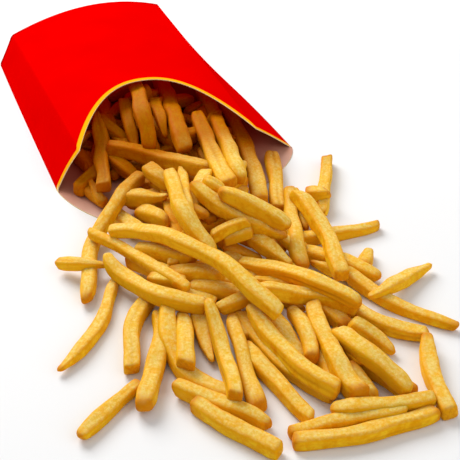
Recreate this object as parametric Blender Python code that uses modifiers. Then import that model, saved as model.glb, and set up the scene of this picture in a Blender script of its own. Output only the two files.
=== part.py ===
"""French fries spilling out of a paper carton that lies on its back.

The carton is one folded blank: its flat back panel lies on the surface and runs
out in front as a round tongue, its crowned front panel has a deep arch cut into
it, and its base is dished in. The fries fill its mouth and lie in a heap in
front of it. +Y runs from the mouth to the base, and the origin is on the
surface, in the middle of the mouth.
"""
import math
import random

import bmesh
import bpy
import numpy as np

MM = 0.001

# Carton, in millimetres. Pairs of values are for the mouth and for the base.
BOARD = 0.5
CLEARANCE = 0.3
LENGTH = 144.5
MOUTH_Y = -7.4
FRONT_WIDTH = (90.0, 90.0)
BACK_WIDTH = (125.4, 108.8)
DEPTH = (23.3, 20.3)
CROWN = (9.5, 5.3)
RACKED = (-6.4, 0.0)
SKEW = (-5.2, -2.0)
TWIST = (2.0, -2.1)
BACK_BULGE = (0.2, 2.2)
BASE_ARC = 7.5
BASE_LEAN = 0.3
BASE_DISH = 9.0
ARCH_DEPTH = 50.6
ARCH_POWER = 2.315
ARCH_LEAN = -0.067
TONGUE_REACH = 51.0
TONGUE_ROUNDNESS = 1.6
TONGUE_LEAN = 0.27
SIDE_SCOOP = 1.6
PANEL_COLUMNS = 16
SIDE_COLUMNS = 3
ROWS = 6

# Heap: two low mounds that the fries lie on, as centre x, y, radii and height.
MOUNDS = ((-6.0, -40.0, 38.0, 32.0, 9.0), (-3.0, 26.0, 33.0, 38.0, 6.0))
SHORTEST_EDGE = 0.002

# How a fry settles: how deep it beds into those below it, the share of its
# thickness that it rests on either side, rounds of settling, how steep a stiff
# fry gets and how much it is evened out in each round.
BITE = 1.8
FOOTPRINT = 0.16
SETTLINGS = 14
STEEPEST = 0.3
EVENINGS = 16
TOP_SHARE = 0.36
STATIONS = 25
TABLE = 0.02
BOARD_MARGIN = 6.0
WALLS_BEGIN = -16.0
FAR = 99.0
FILLERS = (7, 5)
FILLER_LENGTH = (32.0, 52.0)
FILLER_THICKNESS = (6.5, 7.5)
END_TAPER = 0.78
END_ROUND = 2.5
SECTION = 0.98
ROLL = 9.0
MAP_LOW = np.array((-130.0, -230.0))
MAP_SIZE = (260, 400)
SEED = 11

# The layout is drawn on a pane square to the line of sight: across and up, in
# millimetres from the middle of the pane.
EYE = np.array((-177.4, -464.8, 321.8))
TURN = math.radians(-24.0)
RISE = math.radians(36.0)
PANE_DISTANCE = 575.0

# Every fry as x, y of its two ends on the pane, how far it bows to the left on
# the way, its thickness at each end, and where it bows most if not half way.
# They are in the order in which they were laid: the first lie lowest.
INSIDE = (
    (-62, 66, -47, 74, 0, 6, 6),
    (-64, 67, -59, 48, 0, 6, 6),
    (-77, 38, -66, 28, 0, 7, 7),
    (-79, 18, -66, 29, 0, 7, 7),
    (-38, 64, -32, 46, 0, 6, 6),
    (-30, 58, -16, 52, 0, 6, 6.5),
    (-28, 45, -13, 49, 0, 6.5, 7),
    (-22, 35, -10, 44, 0, 7, 7),
    (-66, 56, -50, 42, 0, 6, 6),
    (-40, 31, -30, 21, 0, 7, 7),
    (-56, 34, -46, 24, 0, 6, 6),
    (-55, 15.5, -31, 17, 0, 7, 7.5),
    (-46, 9, -30, 4, 0, 7, 7),
    (-60, 9.5, -44, -1, 0, 6.5, 7),
    (-71, 25, -64, 13, 0, 5.5, 5.5),
    (-14, 25, -2, 18, 0, 7, 7),
    (-53, 64, -48, 39, 0.5, 6.5, 7),
    (-48, 73, -40, 39, 1.5, 7, 7.5),
    (-36.5, 77, -23.5, 38.5, 1.5, 7.5, 8),
    (-66, 59, -64, 20.5, 1, 7, 7.5),
    (-16.5, 58, 0, 22.5, -1.5, 7, 7.5),
    (-5, 65, 14.5, 13, 3.5, 7.5, 8),
    (-15, 71, 6, 24, 0.5, 7, 8),
    (20.5, 38, 25, 10, 0, 6.5, 7),
    (-62, 42, -9.5, 30.5, -0.5, 7, 8),
)
BEHIND = (
    (32, 18, 38, 0, 1, 8, 8),
    (40, -16, 54, -22, 0, 7, 7),
    (48, 36, 46, 8, 0.5, 7, 6.5),
    (38, 17, 50, 19, 0, 7, 7),
    (33, -5, 74.5, 3, -1, 7.5, 5),
    (69.5, -9.5, 66, -20, 0, 6, 7),
    (34, -9.5, 75.5, -23.5, 1, 7.5, 7.5),
    (28.5, 21, 36, -19.5, 0, 6, 7.5),
    (56, -19.5, 114, -48.5, -4, 7, 4.5),
    (31, 19, 55.5, -24, 4.5, 7.5, 7.5),
    (69, -33.5, 100.5, -17, -0.5, 7, 6.5),
    (-20, 11, -11, 6, 0, 6, 6),
    (-2, -9, 16, -14, 0, 7, 7),
    (-18.5, 24, 29, -3, -4, 6.5, 8),
    (-6, 18.5, 29.5, 0.5, 2.5, 8, 8),
    (9, -3, 31, -17.5, 0, 8, 8),
    (-4, -6, 11, 0, 0, 5.5, 6),
    (-10, -3.5, 9.5, 4.5, 0.5, 6, 5.5),
    (-25, 31, -19, 2, 0, 6, 6),
    (-30, 28, -6.5, -13, -4, 7, 8),
    (-47, -10.5, -17, -15, 1, 8, 8.5),
    (-30, -22.5, -4, -24, 1, 9, 9),
    (-22, -28, 10, -33, 0, 7.5, 7.5),
    (-25, -31, -8, -38, 0, 7, 7),
)
FAN = (
    (18, -41, 36, -66, 0, 8, 7.5),
    (44, -38, 60, -49, 0, 7, 7),
    (-76.5, -103.5, -45, -77, 0, 5.8, 5),
    (-56.5, -19.5, -86, -70.5, 6, 4.5, 5.8),
    (-45, 27, -71.5, -36, -8, 6.5, 7),
    (-85.5, -16, -60, -17.5, 0, 5, 6),
    (-38.5, -31, -49, -70.5, -4.5, 7, 6.8, 0.4),
    (-36, -41, -44.5, -90, 3, 6, 9),
    (-32, -38, 2, -82.5, -11.5, 7, 7),
    (-25, -42, -21.5, -68, 1, 7, 8),
    (-17, -42, -9.5, -66, 0.5, 7, 5.5),
    (-27, -78.5, 19.5, -98.5, 1, 7.5, 7),
    (-18.5, -86.5, 25.5, -111, -1.2, 7, 7.5),
    (38, -52, 52, -77, 0, 6.5, 6.5),
    (31, -40, 40.5, -65, 2, 6, 6.5),
    (8, -56, 42, -94.5, -3, 7, 6),
    (6, -42, 53, -82.5, -6, 6.5, 6.5),
    (11, -40, 55, -80.5, -4.5, 7, 7.5),
    (60, -46, 82, -61.5, 1, 7, 6),
    (60, -68, 92, -81.5, 2, 6.5, 7),
    (58, -68, 70.5, -84, 0, 7.5, 7.5),
    (51, -51, 67.5, -67, 0, 6.5, 7),
    (53, -50, 89.5, -81.5, 1.8, 8, 7.5),
    (52, -31.5, 100, -52.5, -5, 6.5, 6),
    (42, -37, 66, -84, -3, 7, 8.5),
    (50, -89.5, 102.5, -84, -1, 6.5, 6),
    (29, -101.5, 89, -89.5, 0.5, 5.5, 5.5),
    (31, -105, 103, -90.5, -4, 6.5, 6.5),
    (98.5, -52, 110, -92, -3, 6.5, 7.5),
    (0.5, -43, 13.5, -90, 0, 5.5, 7.5),
)
TOP = (
    (-6, -40, 18, -30, 0, 7.5, 7.5),
    (12, -31, 64, -39.5, 3, 8, 8),
    (5, -17, 66, -37, 3, 8, 8),
    (-60, -1.5, 25, -42.5, 12, 7.5, 8.5, 0.36),
    (-71, -1, -21, -30, 1.5, 6, 6.5),
    (-61.5, -12, -12, -38.5, -7, 7.5, 9, 0.25),
    (-11, -34, 3, -84, 0.5, 7, 8),
)


def between(pair, t):
    """The value a share t of the way from the mouth to the base."""
    return pair[0] * (1 - t) + pair[1] * t


def front_point(u, y):
    """A point of the front panel: u from -1 to 1 across it, y along it."""
    t = (y - MOUTH_Y) / (LENGTH - MOUTH_Y)
    x = u * between(FRONT_WIDTH, t) / 2 + between(RACKED, t)
    z = between(DEPTH, t) + between(CROWN, t) * (1 - u * u) - u * between(TWIST, t)
    return np.stack((x, y + u * between(SKEW, t), z), -1)


def back_point(u, y):
    """A point of the back panel, whose right fold bows out on the way."""
    t = np.clip(y / LENGTH, 0, 1)
    bulge = between(BACK_BULGE, (u + 1) / 2) * 4 * t * (1 - t)
    x = u * (between(BACK_WIDTH, t) / 2 + bulge)
    return np.stack((x, y + u * between(SKEW, t), 0 * x), -1)


def superellipse(u, roundness):
    """A round arch of height 1 over -1 to 1, pointed below 2 and square above."""
    return np.maximum(0, 1 - np.abs(u) ** roundness) ** (1 / roundness)


def arch_y(u):
    """How far in the front panel is cut away, its arch a little to the right."""
    leaning = (u + ARCH_LEAN) / (1 + ARCH_LEAN * u)
    return MOUTH_Y + ARCH_DEPTH * (1 - np.abs(leaning) ** ARCH_POWER)


def tongue_y(u):
    """How far the back panel reaches out in front, its tip a little to the left."""
    leaning = (u + TONGUE_LEAN) / (1 + TONGUE_LEAN * u)
    return -TONGUE_REACH * superellipse(leaning, TONGUE_ROUNDNESS)


def base_y(u):
    """The curved crease where a wide panel meets the base."""
    return LENGTH + BASE_ARC * (1 - u * u) * (1 + BASE_LEAN * u)


def wall_point(around, along):
    """A point of the tube: around it from 0 to 4, along it from mouth 0 to base 1.

    Panels in turn: front, right side, back and left side, one unit each. Every
    column runs straight from the cut edge at the mouth to the crease at the base.
    """
    panel = np.minimum(np.floor(around), 3)
    share = around - panel
    u = np.sin((share * 2 - 1) * math.pi / 2)

    def column(edge, point):
        return point(u, edge(u) * (1 - along) + base_y(u) * along)

    def side(sign):
        one = np.full_like(share, sign)
        top = front_point(one, MOUTH_Y * (1 - along) + LENGTH * along)
        foot = back_point(one, LENGTH * along)
        down = (share if sign > 0 else 1 - share)[..., None]
        scoop = SIDE_SCOOP * 4 * share * (1 - share) * (1 - along)
        line = top * (1 - down) + foot * down
        line[..., 1] += scoop
        return line

    result = column(arch_y, front_point)
    result = np.where((panel == 1)[..., None], side(1.0), result)
    back = back_point(-u, tongue_y(-u) * (1 - along) + base_y(-u) * along)
    result = np.where((panel == 2)[..., None], back, result)
    return np.where((panel == 3)[..., None], side(-1.0), result)


def base_point(u, s):
    """A point of the dished base: u across, s from the back panel 0 to the front 1."""
    y = base_y(u)
    point = back_point(u, y) * (1 - s)[..., None] + front_point(u, y) * s[..., None]
    point[..., 1] -= BASE_DISH * 4 * s * (1 - s) * (1 - u * u)
    return point


def paint(name, colour, roughness):
    """A plain material with one colour."""
    material = bpy.data.materials.new(name)
    material.use_nodes = True
    shader = material.node_tree.nodes["Principled BSDF"]
    shader.inputs["Base Color"].default_value = (*colour, 1.0)
    shader.inputs["Roughness"].default_value = roughness
    return material


def put(name, mesh, collection, material):
    """An object made of a mesh, in a collection."""
    thing = bpy.data.objects.new(name, mesh)
    collection.objects.link(thing)
    mesh.materials.append(material)
    return thing


def mapped_grid(shape, columns, rows, point):
    """Adds a flat grid to a mesh and moves it to point(a, b), a and b from 0 to 1."""
    made = bmesh.ops.create_grid(shape, x_segments=columns, y_segments=rows, size=1.0)
    flat = np.array([corner.co[:] for corner in made["verts"]])
    places = point((flat[:, 0] + 1) / 2, (flat[:, 1] + 1) / 2) * MM
    for corner, place in zip(made["verts"], places):
        corner.co = place


def tube_share(a):
    """Spreads the columns of the grid evenly within each of the four panels."""
    columns = np.cumsum((0, PANEL_COLUMNS, SIDE_COLUMNS, PANEL_COLUMNS, SIDE_COLUMNS))
    return np.interp(a * columns[-1], columns, np.arange(5))


def make_carton(collection, material):
    """The folded blank: tube and base as one sheet of board."""
    shape = bmesh.new()
    around = 2 * (PANEL_COLUMNS + SIDE_COLUMNS)
    mapped_grid(shape, around, ROWS, lambda a, b: wall_point(tube_share(a), b))
    mapped_grid(shape, PANEL_COLUMNS, SIDE_COLUMNS,
                lambda a, b: base_point(np.sin((a * 2 - 1) * math.pi / 2), b))
    bmesh.ops.remove_doubles(shape, verts=shape.verts, dist=0.00002)
    bmesh.ops.recalc_face_normals(shape, faces=shape.faces)
    mesh = bpy.data.meshes.new("carton")
    shape.to_mesh(mesh)
    shape.free()
    carton = put("carton", mesh, collection, material)
    board = carton.modifiers.new("Board", "SOLIDIFY")
    board.thickness = BOARD * MM
    board.offset = -1.0
    board.use_even_offset = True
    return carton


def pane_axes():
    """The pane's directions: towards the eye, to the right and up."""
    back = np.array((math.sin(TURN) * math.cos(RISE), -math.cos(TURN) * math.cos(RISE), math.sin(RISE)))
    right = np.array((math.cos(TURN), math.sin(TURN), 0.0))
    return back, right, np.cross(back, right)


def sight_lines(pane):
    """The directions from the eye through points of the pane."""
    back, right, up = pane_axes()
    return pane[:, :1] * right + pane[:, 1:] * up - back * PANE_DISTANCE


def at_height(lines, z):
    """The points of the sight lines that lie at heights z."""
    return EYE + lines * ((z - EYE[2]) / lines[:, 2])[:, None]


def mound_height(x, y):
    """The surface of the mounds, nothing outside them."""
    height = np.zeros_like(x)
    for cx, cy, rx, ry, top in MOUNDS:
        reach = ((x - cx) / rx) ** 2 + ((y - cy) / ry) ** 2
        height = np.maximum(height, top * np.sqrt(np.maximum(0, 1 - reach)))
    return height


def near_board(x, y, margin):
    """Where the back panel, widened by a margin, lies under a point."""
    half = between(BACK_WIDTH, np.clip(y / LENGTH, 0, 1)) / 2 + margin
    u = np.clip(x / half, -1, 1)
    edge = tongue_y(u) + u * SKEW[0] - margin
    return (np.abs(x) < half) & (y > edge) & (y < LENGTH + BASE_ARC + margin)


def surface_height(x, y):
    """The board of the carton or the surface it lies on."""
    return np.where(near_board(x, y, BOARD_MARGIN), BOARD + CLEARANCE, TABLE)


class Ground:
    """A map of how high the heap is so far, one cell to the millimetre."""

    def __init__(self):
        x, y = np.meshgrid(np.arange(MAP_SIZE[0]) + MAP_LOW[0], np.arange(MAP_SIZE[1]) + MAP_LOW[1],
                           indexing="ij")
        self.height = np.maximum(surface_height(x, y), mound_height(x, y))

    def cell(self, x, y):
        i = np.clip(np.rint(x - MAP_LOW[0]).astype(int), 0, MAP_SIZE[0] - 1)
        j = np.clip(np.rint(y - MAP_LOW[1]).astype(int), 0, MAP_SIZE[1] - 1)
        return i, j

    def under(self, x, y):
        return self.height[self.cell(x, y)]

    def lay(self, x, y, z):
        np.maximum.at(self.height, self.cell(x, y), z)


def smoothed(values, times):
    """Evens out values along a fry, keeping their ends."""
    for _ in range(times):
        padded = np.concatenate((2 * values[:1] - values[1:2], values, 2 * values[-1:] - values[-2:-1]))
        values = (padded[:-2] + 2 * padded[1:-1] + padded[2:]) / 4
    return values


def across(points):
    """Unit vectors across a fry, level with the ground."""
    along = np.gradient(points[:, :2], axis=0)
    along /= np.linalg.norm(along, axis=1)[:, None]
    return np.stack((-along[:, 1], along[:, 0]), 1)


def on_pane(points):
    """Where points in space are seen on the pane."""
    back, right, up = pane_axes()
    rays = points - EYE
    rays = rays * (PANE_DISTANCE / -(rays @ back))[:, None]
    return np.stack((rays @ right, rays @ up), 1)


def bow(row, s):
    """The middle line of a fry on the pane at shares s of the way along it."""
    x0, y0, x1, y1, bend = row[:5]
    at = row[7] if len(row) > 7 else 0.5
    start, end = np.array((x0, y0), float), np.array((x1, y1), float)
    run = end - start
    left = np.array((-run[1], run[0])) / np.linalg.norm(run)
    elbow = start + run * at + left * 2 * bend
    s = s[:, None]
    return (1 - s) ** 2 * start + 2 * s * (1 - s) * elbow + s ** 2 * end


def settle(row, ground, s):
    """Lowers a fry along the sight lines until it rests on what lies there."""
    lines = sight_lines(bow(row, s))
    thick = row[5] * (1 - s) + row[6] * s
    height = thick / 2
    steps = np.diff(at_height(lines, height)[:, :2], axis=0)
    run = np.concatenate(((0,), np.cumsum(np.linalg.norm(steps, axis=1))))
    for _ in range(SETTLINGS):
        points = at_height(lines, height)
        side = across(points) * (thick * FOOTPRINT)[:, None]
        floor = surface_height(points[:, 0], points[:, 1]) + thick / 2
        need = floor
        for k in (-1, 0, 1):
            below = ground.under(points[:, 0] + k * side[:, 0], points[:, 1] + k * side[:, 1])
            need = np.maximum(need, below + thick / 2 - BITE)
        stiff = (need - STEEPEST * np.abs(run[:, None] - run)).max(1)
        height = np.maximum(height * 0.5 + smoothed(stiff, EVENINGS) * 0.5, floor)
    return at_height(lines, height), thick


def room(points, thick):
    """How far each point of a fry is from touching the front and sides of the carton."""
    x, y, z = points.T
    reach = thick / 2 + BOARD + CLEARANCE
    t = np.clip((y - MOUTH_Y) / (LENGTH - MOUTH_Y), 0, 1)
    u = np.clip((x - between(RACKED, t)) / (between(FRONT_WIDTH, t) / 2), -1, 1)
    inward = y - u * between(SKEW, t)
    ceiling = front_point(u, inward)[:, 2]
    free = np.where(inward > arch_y(u) - reach, ceiling - z - reach, FAR)
    share = np.clip(z / ceiling, 0, 1)
    for sign in (-1, 1):
        edge = between(BACK_WIDTH, t) / 2 * (1 - share)
        edge = edge + (between(FRONT_WIDTH, t) / 2 + sign * between(RACKED, t)) * share
        free = np.minimum(free, np.where(inward > MOUTH_Y - reach, edge - sign * x - 1.1 * reach, FAR))
    return np.where(y < WALLS_BEGIN, FAR, free)


def lay(row, ground):
    """Settles a fry, shortened to the stretch that has room in the carton."""
    s = np.linspace(0, 1, STATIONS)
    for _ in range(4):
        points, thick = settle(row, ground, s)
        free = room(points, thick) >= 0
        if free.all():
            break
        runs = np.split(np.arange(STATIONS), np.flatnonzero(np.diff(free.astype(int))) + 1)
        longest = max((run for run in runs if free[run[0]]), key=len, default=[])
        if len(longest) < STATIONS / 4:
            return None
        s = np.linspace(s[longest[0]], s[longest[-1]], STATIONS)
    else:
        return None
    side = across(points)
    fine = np.linspace(0, STATIONS - 1, STATIONS * 6)
    for share in np.linspace(-TOP_SHARE, TOP_SHARE, 9):
        edge = points[:, :2] + side * (thick * share)[:, None]
        top = points[:, 2] + thick / 2 * (1 - 8 * share ** 4)
        ground.lay(*(np.interp(fine, np.arange(STATIONS), v) for v in (edge[:, 0], edge[:, 1], top)))
    return points, thick


def fillers(draw):
    """Rows for the fries that lie unseen on the two mounds."""
    rows = []
    for (cx, cy, rx, ry, top), count in zip(MOUNDS, FILLERS):
        for _ in range(count):
            turn = draw.uniform(0, math.pi)
            reach = draw.uniform(0, 0.45)
            spot = draw.uniform(0, 2 * math.pi)
            half = draw.uniform(*FILLER_LENGTH) / 2
            middle = np.array((cx + rx * reach * math.cos(spot), cy + ry * reach * math.sin(spot), top))
            step = np.array((half * math.cos(turn), half * math.sin(turn), 0.0))
            ends = on_pane(np.array((middle - step, middle + step)))
            rows.append((*ends[0], *ends[1], draw.uniform(-1.5, 1.5),
                         draw.uniform(*FILLER_THICKNESS), draw.uniform(*FILLER_THICKNESS)))
    return rows


def fry_mesh(points, thick, roll):
    """A square stick with blunt ends along a line of points."""
    s = np.linspace(0, 1, STATIONS)
    length = np.linalg.norm(np.diff(points, axis=0), axis=1).sum()
    chord = points[0] + (points[-1] - points[0]) * s[:, None]
    bulge = np.linalg.norm(points - chord, axis=1).max()
    count = 2 + int(min(4, bulge / 1.5))
    inset = END_ROUND / length
    rings = np.concatenate(((0,), np.linspace(inset, 1 - inset, count), (1,)))
    scale = np.ones(len(rings))
    scale[[0, -1]] = END_TAPER
    middle = np.stack([np.interp(rings, s, points[:, k]) for k in range(3)], 1)
    along = np.gradient(middle, axis=0)
    along /= np.linalg.norm(along, axis=1)[:, None]
    side = np.cross((0.0, 0.0, 1.0), along)
    side /= np.linalg.norm(side, axis=1)[:, None]
    up = np.cross(along, side)
    half = np.interp(rings, s, thick) / 2 * scale * SECTION
    shape = bmesh.new()
    loops = []
    for ring in range(len(rings)):
        loop = []
        for corner in range(4):
            turn = math.pi / 4 + math.pi / 2 * corner + roll
            offset = side[ring] * math.cos(turn) + up[ring] * math.sin(turn)
            place = middle[ring] + offset * half[ring] * math.sqrt(2)
            place[2] = max(place[2], float(surface_height(place[0], place[1])))
            loop.append(shape.verts.new(place * MM))
        loops.append(loop)
    for first, second in zip(loops, loops[1:]):
        for k in range(4):
            shape.faces.new((first[k], first[(k + 1) % 4], second[(k + 1) % 4], second[k]))
    shape.faces.new(loops[0][::-1])
    shape.faces.new(loops[-1])
    bmesh.ops.recalc_face_normals(shape, faces=shape.faces)
    mesh = bpy.data.meshes.new("fry")
    shape.to_mesh(mesh)
    shape.free()
    return mesh


def mound_mesh(cx, cy, rx, ry, top):
    """A flat-bottomed dome that the fries lie on."""
    shape = bmesh.new()
    bmesh.ops.create_uvsphere(shape, u_segments=16, v_segments=10, radius=1.0)
    for corner in shape.verts:
        corner.co = (np.array(corner.co) * (rx, ry, top) + (cx, cy, 0)) * MM
    foot = (BOARD + CLEARANCE) * MM
    bmesh.ops.bisect_plane(shape, geom=shape.verts[:] + shape.edges[:] + shape.faces[:],
                           plane_co=(0, 0, foot), plane_no=(0, 0, 1), clear_inner=True)
    bmesh.ops.holes_fill(shape, edges=shape.edges, sides=0)
    bmesh.ops.recalc_face_normals(shape, faces=shape.faces)
    mesh = bpy.data.meshes.new("mound")
    shape.to_mesh(mesh)
    shape.free()
    return mesh


def drop_flaps(shape):
    """Deletes pairs of triangles that lie back to back on the same three corners."""
    seen = {}
    for face in shape.faces:
        seen.setdefault(frozenset(face.verts), []).append(face)
    flaps = [face for faces in seen.values() if len(faces) > 1 for face in faces]
    bmesh.ops.delete(shape, geom=flaps, context="FACES")
    loose = [corner for corner in shape.verts if not corner.link_faces]
    bmesh.ops.delete(shape, geom=loose, context="VERTS")


def shells_of(shape):
    """The faces of a mesh in groups that hang together along their edges."""
    left = set(shape.faces)
    groups = []
    while left:
        group, rim = set(), [left.pop()]
        while rim:
            face = rim.pop()
            group.add(face)
            for edge in face.edges:
                for other in edge.link_faces:
                    if other in left:
                        left.remove(other)
                        rim.append(other)
        groups.append(group)
    return groups


def clean_union(mesh):
    """Leaves one closed shell of triangles: no scraps, sealed hollows or folded slivers."""
    shape = bmesh.new()
    shape.from_mesh(mesh)
    bmesh.ops.dissolve_verts(shape, verts=[v for v in shape.verts if len(v.link_edges) == 2])
    bmesh.ops.triangulate(shape, faces=shape.faces)
    bmesh.ops.remove_doubles(shape, verts=shape.verts, dist=SHORTEST_EDGE * MM)
    drop_flaps(shape)
    outer = max(shells_of(shape), key=len)
    bmesh.ops.delete(shape, geom=[face for face in shape.faces if face not in outer], context="FACES")
    shape.to_mesh(mesh)
    shape.free()


def make_fries(collection, material):
    """The heap as one solid: mounds and fries joined by one Boolean union."""
    draw = random.Random(SEED)
    ground = Ground()
    heap = bpy.data.collections.new("laid_fries")
    bpy.context.scene.collection.children.link(heap)
    rows = [*fillers(draw), *INSIDE, *BEHIND, *FAN, *TOP]
    for row in rows:
        laid = lay(row, ground)
        if laid is not None:
            roll = math.radians(draw.uniform(-ROLL, ROLL))
            put("laid", fry_mesh(*laid, roll), heap, material)
    put("laid", mound_mesh(*MOUNDS[1]), heap, material)
    fries = put("fries", mound_mesh(*MOUNDS[0]), collection, material)
    join = fries.modifiers.new("Join", "BOOLEAN")
    join.operation = "UNION"
    join.operand_type = "COLLECTION"
    join.collection = heap
    join.solver = "MANIFOLD"
    seen = fries.evaluated_get(bpy.context.evaluated_depsgraph_get())
    mesh = bpy.data.meshes.new_from_object(seen)
    fries.modifiers.clear()
    fries.data = mesh
    for thing in list(heap.objects):
        bpy.data.objects.remove(thing)
    bpy.data.collections.remove(heap)
    clean_union(mesh)
    return fries


def main():
    for thing in list(bpy.data.objects):
        bpy.data.objects.remove(thing)
    collection = bpy.data.collections.new("fries_in_carton")
    bpy.context.scene.collection.children.link(collection)
    make_carton(collection, paint("red_paperboard", (0.80, 0.0, 0.005), 0.45))
    make_fries(collection, paint("fried_potato", (0.80, 0.45, 0.06), 0.5))


main()
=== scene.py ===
# %% [markdown]
# # French fries spilling out of a paper carton
#
# The real thing is a folded carton of printed paperboard that lies on its back,
# with fries still standing in its mouth and a loose heap of them in front of it.
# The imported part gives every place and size. Here each fry gets its own crisp,
# uneven skin and the carton its print, its white inside and its cut edge. All
# lengths below are in millimetres, and become metres when a mesh is made.

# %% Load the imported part
import math
import random

import bpy
import numpy as np
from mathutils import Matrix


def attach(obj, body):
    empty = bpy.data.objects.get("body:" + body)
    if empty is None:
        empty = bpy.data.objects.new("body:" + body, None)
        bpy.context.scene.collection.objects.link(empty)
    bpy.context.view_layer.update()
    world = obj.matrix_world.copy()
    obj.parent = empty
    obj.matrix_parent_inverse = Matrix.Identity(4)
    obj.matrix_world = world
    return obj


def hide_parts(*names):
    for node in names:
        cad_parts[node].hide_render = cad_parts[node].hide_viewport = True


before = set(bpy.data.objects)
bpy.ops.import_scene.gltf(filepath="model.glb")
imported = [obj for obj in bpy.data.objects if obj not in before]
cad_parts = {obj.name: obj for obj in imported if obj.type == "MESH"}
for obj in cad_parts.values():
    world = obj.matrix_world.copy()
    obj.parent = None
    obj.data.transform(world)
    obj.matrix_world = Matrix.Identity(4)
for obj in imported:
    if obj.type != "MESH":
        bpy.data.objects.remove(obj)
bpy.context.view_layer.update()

MM = 0.001

# %% [markdown]
# ## Small helpers
#
# Everything here is a surface on a grid: rows of points one after another, all
# worked out at once as numpy arrays. So one helper numbers the faces of a closed
# tube, one makes a mesh, one turns a hex colour into the linear colour that the
# renderer works in, and two set up shader nodes with their inputs and links.

# %% Helpers for meshes and nodes
def tube_faces(rows, around):
    """Quads between neighbouring rows of a closed tube: corner j of row i is
    number i times the corners in a row plus j."""
    i = np.arange(rows - 1)[:, None] * around
    j = np.arange(around)[None]
    k = (j + 1) % around
    return np.stack((i + j, i + k, i + around + k, i + around + j), -1).reshape(-1, 4)


def make_mesh(name, places, *face_sets):
    """A smooth-shaded mesh from places in millimetres and arrays of faces."""
    corners = np.concatenate([faces.ravel() for faces in face_sets])
    sizes = np.concatenate([np.full(len(faces), faces.shape[1]) for faces in face_sets])
    mesh = bpy.data.meshes.new(name)
    mesh.vertices.add(len(places))
    mesh.vertices.foreach_set("co", (places * MM).astype(np.float32).ravel())
    mesh.loops.add(len(corners))
    mesh.loops.foreach_set("vertex_index", corners.astype(np.int32))
    mesh.polygons.add(len(sizes))
    mesh.polygons.foreach_set("loop_start", (np.cumsum(sizes) - sizes).astype(np.int32))
    mesh.update(calc_edges=True)
    mesh.polygons.foreach_set("use_smooth", np.ones(len(sizes), bool))
    return mesh


def note(mesh, name, values):
    """Stores a number, or three, at every point of a mesh for its material."""
    values = np.asarray(values, np.float32)
    kind, field = ("FLOAT", "value") if values.ndim == 1 else ("FLOAT_VECTOR", "vector")
    mesh.attributes.new(name, kind, "POINT").data.foreach_set(field, values.ravel())


def piece(name, mesh, node, slot, *materials):
    """An object at the origin that rides on the part and stands for a node."""
    thing = bpy.data.objects.new(name, mesh)
    bpy.context.scene.collection.objects.link(thing)
    for material in materials:
        mesh.materials.append(material)
    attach(thing, "root")
    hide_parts(node)
    return thing


def linear(code):
    """An sRGB hex colour as linear light: a channel up to 0.04045 is divided by
    12.92, and a brighter one is ((c + 0.055) / 1.055) to the power 2.4."""
    c = np.array([int(code[k:k + 2], 16) / 255 for k in (1, 3, 5)])
    c = np.where(c <= 0.04045, c / 12.92, ((c + 0.055) / 1.055) ** 2.4)
    return (*c.tolist(), 1.0)


def feed(tree, node, inputs):
    """Gives inputs of a node numbers, hex colours or other nodes' outputs."""
    for name, value in inputs.items():
        if isinstance(value, bpy.types.NodeSocket):
            tree.links.new(value, node.inputs[name])
        else:
            node.inputs[name].default_value = linear(value) if isinstance(value, str) else value


def add(tree, kind, inputs=None, stops=None, **settings):
    """Adds a node with its inputs. Stops are the places and colours of a ramp."""
    node = tree.nodes.new("ShaderNode" + kind)
    for name, value in settings.items():
        setattr(node, name, value)
    feed(tree, node, inputs or {})
    if stops:
        ramp = node.color_ramp.elements
        for place, _ in stops[2:]:
            ramp.new(place)
        for stop, (place, colour) in zip(ramp, sorted(stops)):
            stop.position = place
            stop.color = linear(colour)
    return node


def new_material(name):
    """A material and the node tree and shader that it starts with."""
    material = bpy.data.materials.new(name)
    material.use_nodes = True
    tree = material.node_tree
    return material, tree, tree.nodes["Principled BSDF"]


# %% [markdown]
# ## Camera
#
# The photograph looks down on the heap at 36 degrees, from the left of straight
# ahead, through a long lens, so that the far end of the carton is only a little
# smaller than the near one. The same eye is used again below to lay the fries.

# %% Camera
EYE = np.array((-177.4, -464.8, 321.8))
TURN = math.radians(-24.0)
RISE = math.radians(36.0)
LENS = 90.0
SENSOR = 36.0

eye = bpy.data.objects.new("eye", bpy.data.cameras.new("eye"))
bpy.context.scene.collection.objects.link(eye)
eye.location = EYE * MM
eye.rotation_euler = (math.pi / 2 - RISE, 0.0, TURN)
eye.data.lens = LENS
eye.data.sensor_width = SENSOR
eye.data.clip_start = 0.01
bpy.context.scene.camera = eye
bpy.context.scene.view_settings.view_transform = "Standard"

# %% [markdown]
# ## The carton's shape
#
# A fries carton is one blank of board: a back panel that runs out in a round
# tongue, a crowned front panel with a deep arch cut into it, two narrow sides and
# a dished base. A flat sheet can only bend one way, so every panel is ruled: its
# columns are straight lines from the cut edge at the mouth to the crease at the
# base. The two parameters are how far around the tube and how far along it.

# %% Panels of the carton
BOARD = 0.5
CLEARANCE = 0.3
LENGTH = 144.5
MOUTH_Y = -7.4
FRONT_WIDTH = (90.0, 90.0)
BACK_WIDTH = (125.4, 108.8)
DEPTH = (23.3, 20.3)
CROWN = (9.5, 5.3)
RACKED = (-6.4, 0.0)
SKEW = (-5.2, -2.0)
TWIST = (2.0, -2.1)
BACK_BULGE = (0.2, 2.2)
BASE_ARC = 7.5
BASE_LEAN = 0.3
BASE_DISH = 9.0
ARCH_DEPTH = 50.6
ARCH_POWER = 2.315
ARCH_LEAN = -0.067
TONGUE_REACH = 51.0
TONGUE_ROUNDNESS = 1.6
TONGUE_LEAN = 0.27
SIDE_SCOOP = 1.6


def between(pair, t):
    """The value a share t of the way from the mouth to the base."""
    return pair[0] * (1 - t) + pair[1] * t


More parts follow.
